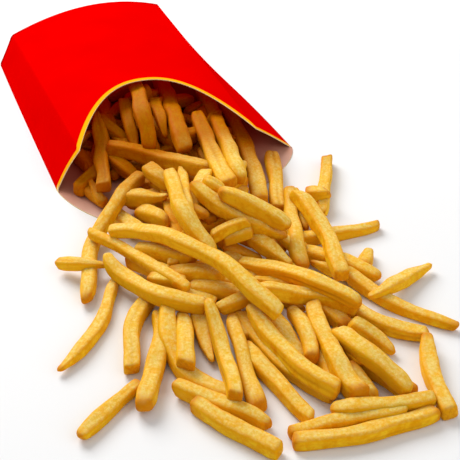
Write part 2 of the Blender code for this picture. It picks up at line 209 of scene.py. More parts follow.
def front_share(y):
    """How far a place is from the front panel's mouth, 0, to its base, 1."""
    return (y - MOUTH_Y) / (LENGTH - MOUTH_Y)


def front_point(u, y):
    """A point of the front panel: a parabola across it, so 1 - u * u times the
    crown above a straight line from fold to fold."""
    t = front_share(y)
    x = u * between(FRONT_WIDTH, t) / 2 + between(RACKED, t)
    z = between(DEPTH, t) + between(CROWN, t) * (1 - u * u) - u * between(TWIST, t)
    return np.stack((x, y + u * between(SKEW, t), z), -1)


def back_point(u, y):
    """A point of the flat back panel: its half width at y times u, and a parabola
    of BACK_BULGE for the folds, of which the right one bows out most."""
    t = np.clip(y / LENGTH, 0, 1)
    bulge = between(BACK_BULGE, (u + 1) / 2) * 4 * t * (1 - t)
    x = u * (between(BACK_WIDTH, t) / 2 + bulge)
    return np.stack((x, y + u * between(SKEW, t), 0 * x), -1)


def superellipse(u, roundness):
    """A round arch of height 1: (1 - |u|^r)^(1/r), pointed below r = 2."""
    return np.maximum(0, 1 - np.abs(u) ** roundness) ** (1 / roundness)


def arch_y(u):
    """How far in the front panel is cut away: 1 - |u|^p, leaning to the right."""
    leaning = (u + ARCH_LEAN) / (1 + ARCH_LEAN * u)
    return MOUTH_Y + ARCH_DEPTH * (1 - np.abs(leaning) ** ARCH_POWER)


def tongue_y(u):
    """How far the back panel reaches out in front, its tip a little to the left."""
    leaning = (u + TONGUE_LEAN) / (1 + TONGUE_LEAN * u)
    return -TONGUE_REACH * superellipse(leaning, TONGUE_ROUNDNESS)


def base_y(u):
    """The curved crease where a wide panel meets the base, a parabola."""
    return LENGTH + BASE_ARC * (1 - u * u) * (1 + BASE_LEAN * u)


def wall_point(around, along):
    """A point of the tube: a straight line from the mouth edge (along 0) to the
    base crease (along 1), for the front, right, back and left panel in turn."""
    panel = np.minimum(np.floor(around), 3)
    share = around - panel
    u = np.sin((share * 2 - 1) * math.pi / 2)

    def side(sign):
        one = np.full_like(share, sign)
        top = front_point(one, MOUTH_Y * (1 - along) + LENGTH * along)
        foot = back_point(one, LENGTH * along)
        down = (share if sign > 0 else 1 - share)[..., None]
        line = top * (1 - down) + foot * down
        line[..., 1] += SIDE_SCOOP * 4 * share * (1 - share) * (1 - along)
        return line

    front = front_point(u, arch_y(u) * (1 - along) + base_y(u) * along)
    back = back_point(-u, tongue_y(-u) * (1 - along) + base_y(-u) * along)
    result = np.where((panel == 1)[..., None], side(1.0), front)
    result = np.where((panel == 2)[..., None], back, result)
    return np.where((panel == 3)[..., None], side(-1.0), result)


def base_point(u, s):
    """A point of the base: a straight line from the back panel (s 0) to the front
    (s 1), pushed in by a dome that is zero at its rim."""
    y = base_y(u)
    point = back_point(u, y) * (1 - s)[..., None] + front_point(u, y) * s[..., None]
    point[..., 1] -= BASE_DISH * 4 * s * (1 - s) * (1 - u * u)
    return point


# %% [markdown]
# ## The carton's mesh
#
# The board is folded, not broken, so each fold has a small radius. Every row of
# the tube is averaged with itself, shifted a little both ways along the row:
# that leaves the flat panels as they are and rounds only the folds. Solidify
# then gives the sheet its thickness inwards, and puts the white inside and the
# bare cut edge on materials of their own.

# %% Mesh of the carton
PANEL_COLUMNS = 96
SIDE_COLUMNS = 16
WALL_ROWS = 84
FOLD_RADIUS = 0.9
RING = 2 * (PANEL_COLUMNS + SIDE_COLUMNS)


def soften_folds(rows, reach):
    """Each row becomes the mean of nine copies of itself, slid along the row by
    -reach to +reach, so a sharp fold turns into a short curve."""
    soft = np.empty_like(rows)
    for number, row in enumerate(rows):
        loop = np.vstack((row, row[:1]))
        run = np.concatenate(((0,), np.cumsum(np.linalg.norm(np.diff(loop, axis=0), axis=1))))
        at = (run[:-1, None] + np.linspace(-reach, reach, 9)) % run[-1]
        soft[number] = np.stack([np.interp(at, run, loop[:, k]).mean(1) for k in range(3)], 1)
    return soft


def carton_mesh():
    """The tube as rows of a closed ring, and the base as a grid on its last row."""
    columns = np.concatenate([panel + np.arange(count) / count for panel, count in enumerate(
        (PANEL_COLUMNS, SIDE_COLUMNS, PANEL_COLUMNS, SIDE_COLUMNS))])
    along = np.linspace(0, 1, WALL_ROWS) ** 1.5
    tube = soften_folds(wall_point(*np.meshgrid(columns, along)), FOLD_RADIUS)
    i, j = np.meshgrid(np.arange(PANEL_COLUMNS + 1), np.arange(SIDE_COLUMNS + 1), indexing="ij")
    u = np.sin((i / PANEL_COLUMNS * 2 - 1) * math.pi / 2)
    base = base_point(u, j / SIDE_COLUMNS)
    number = RING * WALL_ROWS + i * (SIDE_COLUMNS + 1) + j
    last = RING * (WALL_ROWS - 1)
    number[:, -1] = last + i[:, -1]
    number[-1] = last + PANEL_COLUMNS + SIDE_COLUMNS - j[-1]
    number[:, 0] = last + 2 * PANEL_COLUMNS + SIDE_COLUMNS - i[:, 0]
    number[0] = last + (2 * PANEL_COLUMNS + SIDE_COLUMNS + j[0]) % RING
    walls = tube_faces(WALL_ROWS, RING)
    floor = np.stack((number[:-1, :-1], number[1:, :-1], number[1:, 1:], number[:-1, 1:]), -1)
    places = np.concatenate((tube.reshape(-1, 3), base.reshape(-1, 3)))
    used, faces = np.unique(np.concatenate((walls, floor.reshape(-1, 4))), return_inverse=True)
    return places[used], faces.reshape(-1, 4), tube


places, faces, tube = carton_mesh()
board = make_mesh("carton", places, faces)
rim = tube[0]
sides = np.roll(rim, -1, axis=0) - rim
edge = np.concatenate([rim + sides * t for t in (0.0, 0.25, 0.5, 0.75)])
note(board, "from_edge", np.concatenate([
    np.sqrt(((some[:, None] - edge[None]) ** 2).sum(-1)).min(1)
    for some in np.array_split(places, 40)
]))
print("carton:", len(places), "points, mouth edge",
      round(np.linalg.norm(sides, axis=1).sum()), "mm long")

# %% [markdown]
# ## The carton's finish
#
# The carton is solid bleached board, printed on one side with a flat red and a
# thin yellow border along the cut edge. The photo shows no gloss on it, so the
# print reflects no light from above. The inside is the bare white of the board, a
# little fibrous and, where hot fries lay on it, a little greasy. Its cut edge
# shows a hair of pale core. The sizes of the patterns are in millimetres.
# Further in, the inside is painted darker and redder, as painted shade, and the raised panels
# carry a painted red light.

# %% Materials of the carton
BORDER = 2.4
BORDER_BLUR = 0.12
FIBRE = 0.35
CLOUD = 30.0
GREASE = 14.0
TORN = 0.8
INSIDE_FROM, INSIDE_TO = -50.0, 62.0
RED_LIGHT = 0.25
RED_LIGHT_FROM, RED_LIGHT_TO = 3.0, 12.0


def coordinate(tree, place, axis, low, high):
    """How far a place lies along an axis, as 0 to 1 between two millimetres."""
    value = add(tree, "SeparateXYZ", {"Vector": place}).outputs[axis]
    share = add(tree, "MapRange", {"Value": value, "From Min": low * MM, "From Max": high * MM})
    return share.outputs["Result"]


def fibres(tree, place, detail, strength, height):
    """The surface direction with the board's fibres in it, heights in metres."""
    fibre = add(tree, "TexNoise", {"Vector": place, "Scale": 1 / (FIBRE * MM), "Detail": detail})
    bump = add(tree, "Bump", {"Height": fibre.outputs["Fac"], "Strength": strength,
                              "Distance": height})
    return bump.outputs["Normal"]


def printed_board():
    """Red print: the yellow border is where the distance to the edge is small."""
    material, tree, shader = new_material("coated_red_print_on_board")
    place = add(tree, "TexCoord").outputs["Object"]
    cloud = add(tree, "TexNoise", {"Vector": place, "Scale": 1 / (CLOUD * MM), "Detail": 2.0})
    red = add(tree, "ValToRGB", {"Fac": cloud.outputs["Fac"]},
              stops=[(0.3, "#D20000"), (0.7, "#D90000")])
    distance = add(tree, "Attribute", attribute_name="from_edge")
    inner = add(tree, "MapRange", {"Value": distance.outputs["Fac"],
                                   "From Min": BORDER - BORDER_BLUR,
                                   "From Max": BORDER + BORDER_BLUR})
    ink = add(tree, "Mix", {0: inner.outputs["Result"], 6: "#F0AA12", 7: red.outputs["Color"]},
              data_type="RGBA")
    feed(tree, shader, {"Base Color": ink.outputs[2], "Roughness": 0.5, "IOR": 1.47,
                        "Specular IOR Level": 0.0,
                        "Normal": fibres(tree, place, 3.0, 0.12, 0.00005)})
    return material


def white_board():
    """Bare bleached board: warm white at the mouth, with soft fibres and faint
    greasy clouds. Further in it is painted browner and redder, as painted shade
    under the front panel, and an emission on the raised panels paints the red
    light that comes through the print where they are closed."""
    material, tree, shader = new_material("bare_white_board")
    place = add(tree, "TexCoord").outputs["Object"]
    grease = add(tree, "TexNoise", {"Vector": place, "Scale": 1 / (GREASE * MM), "Detail": 3.0})
    white = add(tree, "ValToRGB", {"Fac": grease.outputs["Fac"]},
                stops=[(0.35, "#EDD9CE"), (0.68, "#E2C8B8")])
    # Painted shade: from INSIDE_FROM to INSIDE_TO along y the board is painted darker and redder,
    # as under the front panel.
    inward = coordinate(tree, place, "Y", INSIDE_FROM, INSIDE_TO)
    painted_inner_shade = add(tree, "ValToRGB", {"Fac": inward},
               stops=[(0.0, "#FFFFFF"), (1.0, "#7A200C"), (0.35, "#D8AE9C"),
                      (0.55, "#B87A60"), (0.78, "#98482C")])
    white = add(tree, "Mix", {0: 1.0, 6: white.outputs["Color"], 7: painted_inner_shade.outputs["Color"]},
                data_type="RGBA", blend_type="MULTIPLY")
    # Painted light: an emission, strongest high up and far in, paints the red light that comes
    # through the print.
    above = coordinate(tree, place, "Z", RED_LIGHT_FROM, RED_LIGHT_TO)
    through = add(tree, "Math", {0: above, 1: inward}, operation="MULTIPLY")
    through = add(tree, "Math", {0: through.outputs[0], 1: RED_LIGHT}, operation="MULTIPLY")
    feed(tree, shader, {"Base Color": white.outputs[2], "Roughness": 0.75,
                        "Emission Color": "#FF1400", "Emission Strength": through.outputs[0],
                        "Normal": fibres(tree, place, 4.0, 0.25, 0.00006)})
    return material


def cut_board():
    """The die-cut edge: pale core with a trace of yellow ink."""
    material, tree, shader = new_material("die_cut_board_edge")
    place = add(tree, "TexCoord").outputs["Object"]
    torn = add(tree, "TexNoise", {"Vector": place, "Scale": 1 / (TORN * MM), "Detail": 3.0})
    core = add(tree, "ValToRGB", {"Fac": torn.outputs["Fac"]},
               stops=[(0.35, "#F7E3B4"), (0.7, "#F3CE83")])
    feed(tree, shader, {"Base Color": core.outputs["Color"], "Roughness": 0.85})
    return material


carton = piece("carton_board", board, "carton", "red_paperboard",
               printed_board(), white_board(), cut_board())
wall = carton.modifiers.new("Board", "SOLIDIFY")
wall.thickness = BOARD * MM
wall.offset = -1.0
wall.use_even_offset = True
wall.material_offset = 1
wall.material_offset_rim = 2

# %% [markdown]
# ## How the fries were laid
#
# Real fries slide out one over another and come to rest on whatever lies below.
# The layout says where each fry is seen on a pane that is square to the line of
# sight. A fry is then lowered along the sight lines until it rests on a height
# map of the heap so far, so that it stays where it is seen and still lies on its
# neighbours. The first ones in a list lie lowest.

# %% Layout of the fries
PANE_DISTANCE = 575.0
SEED = 11
ROLL = 9.0
MOUNDS = ((-6.0, -40.0, 38.0, 32.0, 9.0), (-3.0, 26.0, 33.0, 38.0, 6.0))
FILLERS = (7, 5)
FILLER_SPREAD = 0.45
FILLER_LENGTH = (32.0, 52.0)
FILLER_THICKNESS = (6.5, 7.5)

# Each row: x, y of both ends on the pane, how far it bows to the left, its
# thickness at each end, and where it bows most if not half way.
INSIDE = (
    (-62, 66, -47, 74, 0, 6, 6),
    (-64, 67, -59, 48, 0, 6, 6),
    (-77, 38, -66, 28, 0, 7, 7),
    (-79, 18, -66, 29, 0, 7, 7),
    (-38, 64, -32, 46, 0, 6, 6),
    (-30, 58, -16, 52, 0, 6, 6.5),
    (-28, 45, -13, 49, 0, 6.5, 7),
    (-22, 35, -10, 44, 0, 7, 7),
    (-66, 56, -50, 42, 0, 6, 6),
    (-40, 31, -30, 21, 0, 7, 7),
    (-56, 34, -46, 24, 0, 6, 6),
    (-55, 15.5, -31, 17, 0, 7, 7.5),
    (-46, 9, -30, 4, 0, 7, 7),
    (-60, 9.5, -44, -1, 0, 6.5, 7),
    (-71, 25, -64, 13, 0, 5.5, 5.5),
    (-14, 25, -2, 18, 0, 7, 7),
    (-53, 64, -48, 39, 0.5, 6.5, 7),
    (-48, 73, -40, 39, 1.5, 7, 7.5),
    (-36.5, 77, -23.5, 38.5, 1.5, 7.5, 8),
    (-66, 59, -64, 20.5, 1, 7, 7.5),
    (-16.5, 58, 0, 22.5, -1.5, 7, 7.5),
    (-5, 65, 14.5, 13, 3.5, 7.5, 8),
    (-15, 71, 6, 24, 0.5, 7, 8),
    (20.5, 38, 25, 10, 0, 6.5, 7),
    (-62, 42, -9.5, 30.5, -0.5, 7, 8),
)
BEHIND = (
    (32, 18, 38, 0, 1, 8, 8),
    (40, -16, 54, -22, 0, 7, 7),
    (48, 36, 46, 8, 0.5, 7, 6.5),
    (38, 17, 50, 19, 0, 7, 7),
    (33, -5, 74.5, 3, -1, 7.5, 5),
    (69.5, -9.5, 66, -20, 0, 6, 7),
    (34, -9.5, 75.5, -23.5, 1, 7.5, 7.5),
    (28.5, 21, 36, -19.5, 0, 6, 7.5),
    (56, -19.5, 114, -48.5, -4, 7, 4.5),
    (31, 19, 55.5, -24, 4.5, 7.5, 7.5),
    (69, -33.5, 100.5, -17, -0.5, 7, 6.5),
    (-20, 11, -11, 6, 0, 6, 6),
    (-2, -9, 16, -14, 0, 7, 7),
    (-18.5, 24, 29, -3, -4, 6.5, 8),
    (-6, 18.5, 29.5, 0.5, 2.5, 8, 8),
    (9, -3, 31, -17.5, 0, 8, 8),
    (-4, -6, 11, 0, 0, 5.5, 6),
    (-10, -3.5, 9.5, 4.5, 0.5, 6, 5.5),
    (-25, 31, -19, 2, 0, 6, 6),
    (-30, 28, -6.5, -13, -4, 7, 8),
    (-47, -10.5, -17, -15, 1, 8, 8.5),
    (-30, -22.5, -4, -24, 1, 9, 9),
    (-22, -28, 10, -33, 0, 7.5, 7.5),
    (-25, -31, -8, -38, 0, 7, 7),
)
FAN = (
    (18, -41, 36, -66, 0, 8, 7.5),
    (44, -38, 60, -49, 0, 7, 7),
    (-76.5, -103.5, -45, -77, 0, 5.8, 5),
    (-56.5, -19.5, -86, -70.5, 6, 4.5, 5.8),
    (-45, 27, -71.5, -36, -8, 6.5, 7),
    (-85.5, -16, -60, -17.5, 0, 5, 6),
    (-38.5, -31, -49, -70.5, -4.5, 7, 6.8, 0.4),
    (-36, -41, -44.5, -90, 3, 6, 9),
    (-32, -38, 2, -82.5, -11.5, 7, 7),
    (-25, -42, -21.5, -68, 1, 7, 8),
    (-17, -42, -9.5, -66, 0.5, 7, 5.5),
    (-27, -78.5, 19.5, -98.5, 1, 7.5, 7),
    (-18.5, -86.5, 25.5, -111, -1.2, 7, 7.5),
    (38, -52, 52, -77, 0, 6.5, 6.5),
    (31, -40, 40.5, -65, 2, 6, 6.5),
    (8, -56, 42, -94.5, -3, 7, 6),
    (6, -42, 53, -82.5, -6, 6.5, 6.5),
    (11, -40, 55, -80.5, -4.5, 7, 7.5),
    (60, -46, 82, -61.5, 1, 7, 6),
    (60, -68, 92, -81.5, 2, 6.5, 7),
    (58, -68, 70.5, -84, 0, 7.5, 7.5),
    (51, -51, 67.5, -67, 0, 6.5, 7),
    (53, -50, 89.5, -81.5, 1.8, 8, 7.5),
    (52, -31.5, 100, -52.5, -5, 6.5, 6),
    (42, -37, 66, -84, -3, 7, 8.5),
    (50, -89.5, 102.5, -84, -1, 6.5, 6),
    (29, -101.5, 89, -89.5, 0.5, 5.5, 5.5),
    (31, -105, 103, -90.5, -4, 6.5, 6.5),
    (98.5, -52, 110, -92, -3, 6.5, 7.5),
    (0.5, -43, 13.5, -90, 0, 5.5, 7.5),
)
TOP = (
    (-6, -40, 18, -30, 0, 7.5, 7.5),
    (12, -31, 64, -39.5, 3, 8, 8),
    (5, -17, 66, -37, 3, 8, 8),
    (-60, -1.5, 25, -42.5, 12, 7.5, 8.5, 0.36),
    (-71, -1, -21, -30, 1.5, 6, 6.5),
    (-61.5, -12, -12, -38.5, -7, 7.5, 9, 0.25),
    (-11, -34, 3, -84, 0.5, 7, 8),
)

# %% Settling the fries one on another
BITE = 1.8
FOOTPRINT = 0.16
SETTLINGS = 14
STEEPEST = 0.3
EVENINGS = 16
TOP_SHARE = 0.36
STATIONS = 25
TABLE = 0.02
BOARD_MARGIN = 6.0
WALLS_BEGIN = -16.0
SIDE_GAP = 1.1
LANES = 9
LANE_DETAIL = 6
TRIES = 4
FAR = 99.0
MAP_LOW = np.array((-130.0, -230.0))
MAP_SIZE = (260, 400)


def pane_axes():
    """The pane's directions: towards the eye, to the right and up."""
    back = np.array((math.sin(TURN) * math.cos(RISE), -math.cos(TURN) * math.cos(RISE),
                     math.sin(RISE)))
    right = np.array((math.cos(TURN), math.sin(TURN), 0.0))
    return back, right, np.cross(back, right)


def sight_lines(pane):
    """The directions from the eye through points of the pane."""
    back, right, up = pane_axes()
    return pane[:, :1] * right + pane[:, 1:] * up - back * PANE_DISTANCE


def at_height(lines, z):
    """The points of the sight lines that lie at heights z."""
    return EYE + lines * ((z - EYE[2]) / lines[:, 2])[:, None]


def mound_height(x, y):
    """Two half ellipsoids, which the hidden fries under the heap fill."""
    height = np.zeros_like(x)
    for cx, cy, rx, ry, top in MOUNDS:
        reach = ((x - cx) / rx) ** 2 + ((y - cy) / ry) ** 2
        height = np.maximum(height, top * np.sqrt(np.maximum(0, 1 - reach)))
    return height


def with_mounds(x, y):
    """What the first fries are laid on."""
    return np.maximum(surface_height(x, y), mound_height(x, y))


def near_board(x, y, margin):
    """Where the back panel, widened by a margin, lies under a point."""
    half = between(BACK_WIDTH, np.clip(y / LENGTH, 0, 1)) / 2 + margin
    u = np.clip(x / half, -1, 1)
    edge = tongue_y(u) + u * SKEW[0] - margin
    return (np.abs(x) < half) & (y > edge) & (y < LENGTH + BASE_ARC + margin)


def surface_height(x, y):
    """The board of the carton or the surface it lies on."""
    return np.where(near_board(x, y, BOARD_MARGIN), BOARD + CLEARANCE, TABLE)


class Ground:
    """A map of how high the heap is so far, one cell to the millimetre."""

    def __init__(self, start_height):
        self.x, self.y = np.meshgrid(np.arange(MAP_SIZE[0]) + MAP_LOW[0],
                                     np.arange(MAP_SIZE[1]) + MAP_LOW[1], indexing="ij")
        self.height = start_height(self.x, self.y)

    def cell(self, x, y):
        i = np.clip(np.rint(x - MAP_LOW[0]).astype(int), 0, MAP_SIZE[0] - 1)
        j = np.clip(np.rint(y - MAP_LOW[1]).astype(int), 0, MAP_SIZE[1] - 1)
        return i, j

    def under(self, x, y):
        return self.height[self.cell(x, y)]

    def lay(self, x, y, z):
        np.maximum.at(self.height, self.cell(x, y), z)


def smoothed(values, times):
    """Evens out values along a fry, keeping their ends: a quarter of each
    neighbour and half of the value itself."""
    for _ in range(times):
        first, last = 2 * values[:1] - values[1:2], 2 * values[-1:] - values[-2:-1]
        padded = np.concatenate((first, values, last))
        values = (padded[:-2] + 2 * padded[1:-1] + padded[2:]) / 4
    return values


def across(points):
    """Unit vectors across a fry, level with the ground."""
    along = np.gradient(points[:, :2], axis=0)
    along /= np.linalg.norm(along, axis=1)[:, None]
    return np.stack((-along[:, 1], along[:, 0]), 1)


def on_pane(points):
    """Where points in space are seen on the pane."""
    back, right, up = pane_axes()
    rays = points - EYE
    rays = rays * (PANE_DISTANCE / -(rays @ back))[:, None]
    return np.stack((rays @ right, rays @ up), 1)


def bow(row, s):
    """The middle line of a fry on the pane: a parabola through its two ends."""
    x0, y0, x1, y1, bend = row[:5]
    at = row[7] if len(row) > 7 else 0.5
    start, end = np.array((x0, y0), float), np.array((x1, y1), float)
    run = end - start
    left = np.array((-run[1], run[0])) / np.linalg.norm(run)
    elbow = start + run * at + left * 2 * bend
    s = s[:, None]
    return (1 - s) ** 2 * start + 2 * s * (1 - s) * elbow + s ** 2 * end


def settle(row, ground, s):
    """Lowers a fry along the sight lines until it rests on what lies there.

    A point needs the height of the map under it plus half the fry's thickness,
    less BITE. The fry's own stiffness spreads a need along it: the height there
    is the largest need anywhere less STEEPEST times the way to it.
    """
    lines = sight_lines(bow(row, s))
    thick = row[5] * (1 - s) + row[6] * s
    height = thick / 2
    steps = np.diff(at_height(lines, height)[:, :2], axis=0)
    run = np.concatenate(((0,), np.cumsum(np.linalg.norm(steps, axis=1))))
    for _ in range(SETTLINGS):
        points = at_height(lines, height)
        side = across(points) * (thick * FOOTPRINT)[:, None]
        floor = surface_height(points[:, 0], points[:, 1]) + thick / 2
        need = floor
        for k in (-1, 0, 1):
            below = ground.under(points[:, 0] + k * side[:, 0], points[:, 1] + k * side[:, 1])
            need = np.maximum(need, below + thick / 2 - BITE)
        stiff = (need - STEEPEST * np.abs(run[:, None] - run)).max(1)
        height = np.maximum(height * 0.5 + smoothed(stiff, EVENINGS) * 0.5, floor)
    return at_height(lines, height), thick


def room(points, thick):
    """How far each point of a fry is from touching the carton's front and sides."""
    x, y, z = points.T
    reach = thick / 2 + BOARD + CLEARANCE
    t = np.clip(front_share(y), 0, 1)
    u = np.clip((x - between(RACKED, t)) / (between(FRONT_WIDTH, t) / 2), -1, 1)
    inward = y - u * between(SKEW, t)
    ceiling = front_point(u, inward)[:, 2]
    free = np.where(inward > arch_y(u) - reach, ceiling - z - reach, FAR)
    share = np.clip(z / ceiling, 0, 1)
    for sign in (-1, 1):
        edge = between(BACK_WIDTH, t) / 2 * (1 - share)
        edge = edge + (between(FRONT_WIDTH, t) / 2 + sign * between(RACKED, t)) * share
        beside = edge - sign * x - SIDE_GAP * reach
        free = np.minimum(free, np.where(inward > MOUTH_Y - reach, beside, FAR))
    return np.where(y < WALLS_BEGIN, FAR, free)


def lanes(points, thick, width):
    """Lines along a fry, up to a share of its thickness to either side. Each comes
    as its share, its places and the thickness there."""
    side = across(points)
    fine = np.linspace(0, STATIONS - 1, STATIONS * LANE_DETAIL)
    for share in np.linspace(-width, width, LANES):
        edge = points[:, :2] + side * (thick * share)[:, None]
        yield share, *(np.interp(fine, np.arange(STATIONS), v)
                       for v in (edge[:, 0], edge[:, 1], points[:, 2], thick))


def mark(points, thick, ground):
    """Raises the map to the top of a fry, a little lower towards its edges."""
    for share, x, y, z, size in lanes(points, thick, TOP_SHARE):
        ground.lay(x, y, z + size / 2 * (1 - 8 * share ** 4))


def lay(row, ground):
    """Settles a fry, shortened to the stretch that has room in the carton."""
    s = np.linspace(0, 1, STATIONS)
    for _ in range(TRIES):
        points, thick = settle(row, ground, s)
        free = room(points, thick) >= 0
        if free.all():
            break
        runs = np.split(np.arange(STATIONS), np.flatnonzero(np.diff(free.astype(int))) + 1)
        longest = max((run for run in runs if free[run[0]]), key=len, default=[])
        if len(longest) < STATIONS / 4:
            return None
        s = np.linspace(s[longest[0]], s[longest[-1]], STATIONS)
    else:
        return None
    mark(points, thick, ground)
    return points, thick


def random_row(mound, height, spread, lengths, thicknesses, draw):
    """A row for a fry at a random place, up to a share of the mound's radii from
    its middle, and in a random direction."""
    cx, cy, rx, ry, _ = mound
    turn = draw.uniform(0, math.pi)
    reach = draw.uniform(0, spread)
    spot = draw.uniform(0, 2 * math.pi)
    half = draw.uniform(*lengths) / 2
    middle = np.array((cx + rx * reach * math.cos(spot), cy + ry * reach * math.sin(spot), height))
    step = np.array((half * math.cos(turn), half * math.sin(turn), 0.0))
    ends = on_pane(np.array((middle - step, middle + step)))
    return (*ends[0], *ends[1], draw.uniform(-1.5, 1.5), draw.uniform(*thicknesses),
            draw.uniform(*thicknesses))


def fillers(draw):
    """Rows for the fries that lie unseen on the two mounds."""
    return [random_row(mound, mound[4], FILLER_SPREAD, FILLER_LENGTH, FILLER_THICKNESS, draw)
            for mound, count in zip(MOUNDS, FILLERS) for _ in range(count)]


draw = random.Random(SEED)
ground = Ground(with_mounds)
groups = {"fries_buried": fillers(draw), "fries_in_carton": INSIDE, "fries_at_mouth": BEHIND,
          "fries_spread": FAN, "fries_on_top": TOP}
laid = {}
for name, rows in groups.items():
    kept = [line for line in (lay(row, ground) for row in rows) if line is not None]
    laid[name] = [(*line, math.radians(draw.uniform(-ROLL, ROLL))) for line in kept]
    print(name, len(laid[name]), "fries")

# %% [markdown]
# ## How deep in the heap
#
# Light that reaches a fry deep in the heap has been passed on by other fries, so
# it comes out orange there; here that orange is painted into the crust, as painted
# shade. The height map tells how deep a place lies: the map, with the carton's
# front panel as a roof, is blurred, and the height of the place is taken from it.
# The fries in the carton are painted darker the further in they lie, from
# INDOORS_FROM to INDOORS_TO along y, as painted shade under the front panel.

# %% Depth in the heap
SHADE_BLUR = 60
SHADE_FROM = 1.0
SHADE_TO = 15.0
INDOORS_FROM = -42.0
INDOORS_TO = -6.0


def blurred(grid, times):
    """Averages neighbours along both directions of a map, again and again."""
    for _ in range(times):
        for axis in (0, 1):
            grid = (np.roll(grid, 1, axis) + 2 * grid + np.roll(grid, -1, axis)) / 4
    return grid


def roof_height(x, y):
    """The front panel where it covers the inside of the carton, nothing elsewhere."""
    t = np.clip(front_share(y), 0, 1)
    u = (x - between(RACKED, t)) / (between(FRONT_WIDTH, t) / 2)
    covered = (np.abs(u) < 1) & (y > arch_y(np.clip(u, -1, 1))) & (y < LENGTH)
    return np.where(covered, front_point(np.clip(u, -1, 1), y)[..., 2], 0)


cover = Ground(roof_height)
cover.height = blurred(np.maximum(cover.height, ground.height), SHADE_BLUR)


def eased(share):
    """A share from 0 to 1 that starts and ends gently: 3 s^2 - 2 s^3."""
    return share * share * (3 - 2 * share)


def depth_share(places):
    """0 in the open to 1 deep in the heap."""
    deep = cover.under(places[:, 0], places[:, 1]) - places[:, 2]
    return eased(np.clip((deep - SHADE_FROM) / (SHADE_TO - SHADE_FROM), 0, 1))


# %% [markdown]
# ## The bed under the heap
#
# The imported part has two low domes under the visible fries. Real fries take their
# place here. The first ones show in the gaps between the visible fries, so a
# table says where they are seen, as before. Then short ones are tried at random
# on the floor and on each other, and stay if they reach no more than BED_OVERLAP
# into those already laid and stay BED_DROP under the blurred top of the heap.

# %% Bed of hidden fries
BED_TRIES = 1500
BED_MOST = 95
BED_SPREAD = 1.25
BED_MIDDLE = 4.0
BED_LENGTH = (14.0, 42.0)
BED_THICKNESS = (5.5, 7.5)
BED_OVERLAP = 8.0
BED_DROP = 0.5
UNDERSIDE_SHARE = 0.45
# x, y of both ends on the pane, and how thick.
IN_GAPS = (
    (-45, 22.5, -31, 24, 7),
    (-59, 26.5, -51.5, 33.5, 7),
    (-31, 15, -16.5, 8.5, 7),
    (-61.5, 38.5, -46.5, 25, 7),
    (-73.5, 21.5, -61.5, 13.5, 6),
    (-52, 12, -33, 11, 7),
    (-24, 20, -10, 14, 7),
    (-40, 52, -36, 34, 7),
    (-58, 52, -52, 40, 7),
    (-20, 50, -8, 40, 7),
    (-12, 36, 0, 30, 7),
    (-50, 30, -37, 32, 7),
    (-8, 14, 3, 8, 7),
    (15, -5, 29, -9, 7),
    (20, -14, 34, -24, 7),
    (22, -2, 36, -10, 7),
    (0, -20, 16, -26, 7),
    (-12, -28, 0, -32, 7),
    (-36, -20, -22, -30, 7),
    (24, 6, 34, -4, 6),
    (-30, -5, -12, -8, 7),
    (10, -34, 24, -38, 7),
    (28, -26, 42, -30, 7),
    (-50, -16, -30, -22, 7),
    (-34, -33, -16, -36, 6),
    (2, -40, 10, -54, 6),
    (36, -44, 44, -58, 6),
    (12, -24, 32, -28, 6),
    (-10, -24, 6, -28, 6),
    (-22, -18, -6, -22, 6),
    (22, -32, 38, -40, 6),
    (-40, -24, -22, -27, 6),
    (-5, -12, 8, -18, 6),
)


def undersides(fries):
    """A map of how low the laid fries reach, and FAR where there are none."""
    low = Ground(lambda x, y: 0 * x + FAR)
    for points, thick, _ in fries:
        for _, x, y, z, size in lanes(points, thick, UNDERSIDE_SHARE):
            np.minimum.at(low.height, low.cell(x, y), z - size / 2)
    return low


def bed(draw, fries):
    """Straight fries between the floor and the fries already laid: those seen in
    the gaps, then random ones that fit."""
    low = undersides(fries)
    floor = Ground(surface_height)
    s = np.linspace(0, 1, STATIONS)
    kept = []
    for *ends, size in IN_GAPS:
        points, thick = settle((*ends, 0, size, size), floor, s)
        mark(points, thick, floor)
        kept.append((points, thick, math.radians(draw.uniform(-ROLL, ROLL))))
    for number in range(BED_TRIES):
        if len(kept) == BED_MOST:
            break
        mound = MOUNDS[number % len(MOUNDS)]
        row = random_row(mound, BED_MIDDLE, BED_SPREAD, BED_LENGTH, BED_THICKNESS, draw)
        points, thick = settle(row, floor, s)
        roof = np.minimum(low.under(points[:, 0], points[:, 1]) + BED_OVERLAP,
                          cover.under(points[:, 0], points[:, 1]) - BED_DROP)
        if np.all(points[:, 2] + thick / 2 < roof) and np.all(room(points, thick) > 0):
            mark(points, thick, floor)
            kept.append((points, thick, math.radians(draw.uniform(-ROLL, ROLL))))
    return kept


laid["fries_bed"] = bed(draw, [fry for fries in laid.values() for fry in fries])
print("fries_bed", len(laid["fries_bed"]), "fries")

# %% [markdown]
# ## The skin of one fry
#
# A fry is cut square, then shrinks as it fries: its corners stay fairly crisp, its
# faces sink a little, one face often creases along its length, and the ends are
# cut straight, slanted, or run out to a point where the potato ended. So the
# section is a superellipse carried along the laid line, with a slow twist, widths
# that swell and shrink separately both ways, small lumps and a nose at each end.
# Everything is drawn from one seeded generator, so no two fries are alike and
# every run gives the same ones. Waves are given as their strength and the length
# in millimetres that one of them takes. The fullness of a group makes its fries
# as thick as the photo shows them.

